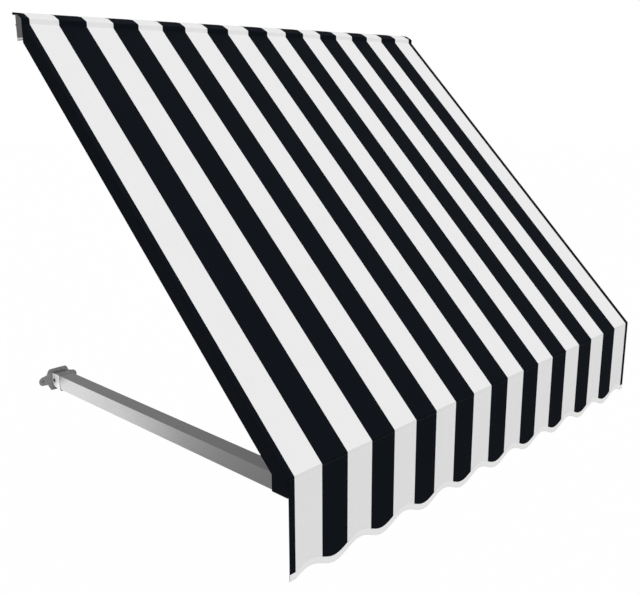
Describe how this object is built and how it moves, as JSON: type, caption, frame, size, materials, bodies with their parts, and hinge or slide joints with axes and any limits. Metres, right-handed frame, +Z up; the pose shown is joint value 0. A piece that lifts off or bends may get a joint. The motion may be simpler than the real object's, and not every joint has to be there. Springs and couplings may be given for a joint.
{
  "type": "fabric window awning",
  "caption": "Sloped fabric window awning with a wall rail, rafters, front bar, pivoting side arms on wall brackets and a scalloped valance; shades a window or door.",
  "frame": {"origin": "back face of the middle rail bracket, on the wall plane, level with the middle of the rail", "axes": "+X to the right seen from the street, +Y into the wall, +Z up"},
  "size_m": [1.993, 1.2208, 1.48],
  "materials": {
    "mill_aluminium": "satin mill finish with fine extrusion lines",
    "cast_grey": "matt grey cast surface",
    "zinc_steel": "zinc plated",
    "black_steel": "blackened steel",
    "black_rubber": "matt",
    "grey_plastic": "matt moulded",
    "keder_plastic": "smooth",
    "striped_cloth": "woven awning canvas in black and white block stripes 100 mm wide",
    "binding_tape": "white woven tape, stitched"
  },
  "bodies": {
    "canopy": {"angle_rafter_screw_left": "zinc_steel", "angle_rafter_screw_right": "zinc_steel", "angle_rail_screw_left": "zinc_steel", "angle_rail_screw_right": "zinc_steel", "cover": "striped_cloth", "cover_keder": "keder_plastic", "front_bar": "mill_aluminium", "front_bar_cap_left": "grey_plastic", "front_bar_cap_right": "grey_plastic", "front_lug_left": "cast_grey", "front_lug_right": "cast_grey", "front_pivot_bolt_left": "black_steel", "front_pivot_bolt_right": "black_steel", "front_pivot_nut_left": "black_steel", "front_pivot_nut_right": "black_steel", "head_cap": "mill_aluminium", "head_cap_screw_1": "zinc_steel", "head_cap_screw_2": "zinc_steel", "head_cap_screw_3": "zinc_steel", "head_cap_screw_4": "zinc_steel", "head_cap_screw_5": "zinc_steel", "header_bracket_centre": "mill_aluminium", "header_bracket_left": "mill_aluminium", "header_bracket_right": "mill_aluminium", "header_end_cap_left": "grey_plastic", "header_end_cap_right": "grey_plastic", "header_lock_screw_centre": "zinc_steel", "header_lock_screw_left": "zinc_steel", "header_lock_screw_right": "zinc_steel", "header_rail": "mill_aluminium", "lug_screw_left_1": "zinc_steel", "lug_screw_left_2": "zinc_steel", "lug_screw_right_1": "zinc_steel", "lug_screw_right_2": "zinc_steel", "rafter_angle_left": "mill_aluminium", "rafter_angle_right": "mill_aluminium", "rafter_foot_left": "cast_grey", "rafter_foot_right": "cast_grey", "rafter_left": "mill_aluminium", "rafter_right": "mill_aluminium", "valance": "striped_cloth", "valance_binding": "binding_tape"},
    "left_arm": {"arm_collar_left": "black_rubber", "arm_fork_left": "mill_aluminium", "arm_left": "mill_aluminium", "fork_set_screw_left": "black_steel"},
    "right_arm": {"arm_collar_right": "black_rubber", "arm_fork_right": "mill_aluminium", "arm_right": "mill_aluminium", "fork_set_screw_right": "black_steel"},
    "left_plate": {"wall_bracket_left": "cast_grey", "wall_pad_left": "black_rubber", "wall_pivot_bolt_left": "black_steel", "wall_pivot_nut_left": "black_steel"},
    "right_plate": {"wall_bracket_right": "cast_grey", "wall_pad_right": "black_rubber", "wall_pivot_bolt_right": "black_steel", "wall_pivot_nut_right": "black_steel"}
  },
  "joints": [
    {"name": "left_arm_pivot", "type": "hinge", "parent": "canopy", "child": "left_arm", "pos_m": [-0.9245, -1.141, -1.175], "axis": [1, 0, 0], "range_deg": [-35, 35]},
    {"name": "right_arm_pivot", "type": "hinge", "parent": "canopy", "child": "right_arm", "pos_m": [0.9245, -1.141, -1.175], "axis": [1, 0, 0], "range_deg": [-35, 35]},
    {"name": "left_plate_pivot", "type": "hinge", "parent": "left_arm", "child": "left_plate", "pos_m": [-0.9245, -0.0237, -1.175], "axis": [1, 0, 0], "range_deg": [-25, 0]},
    {"name": "right_plate_pivot", "type": "hinge", "parent": "right_arm", "child": "right_plate", "pos_m": [0.9245, -0.0237, -1.175], "axis": [1, 0, 0], "range_deg": [-25, 0]}
  ]
}
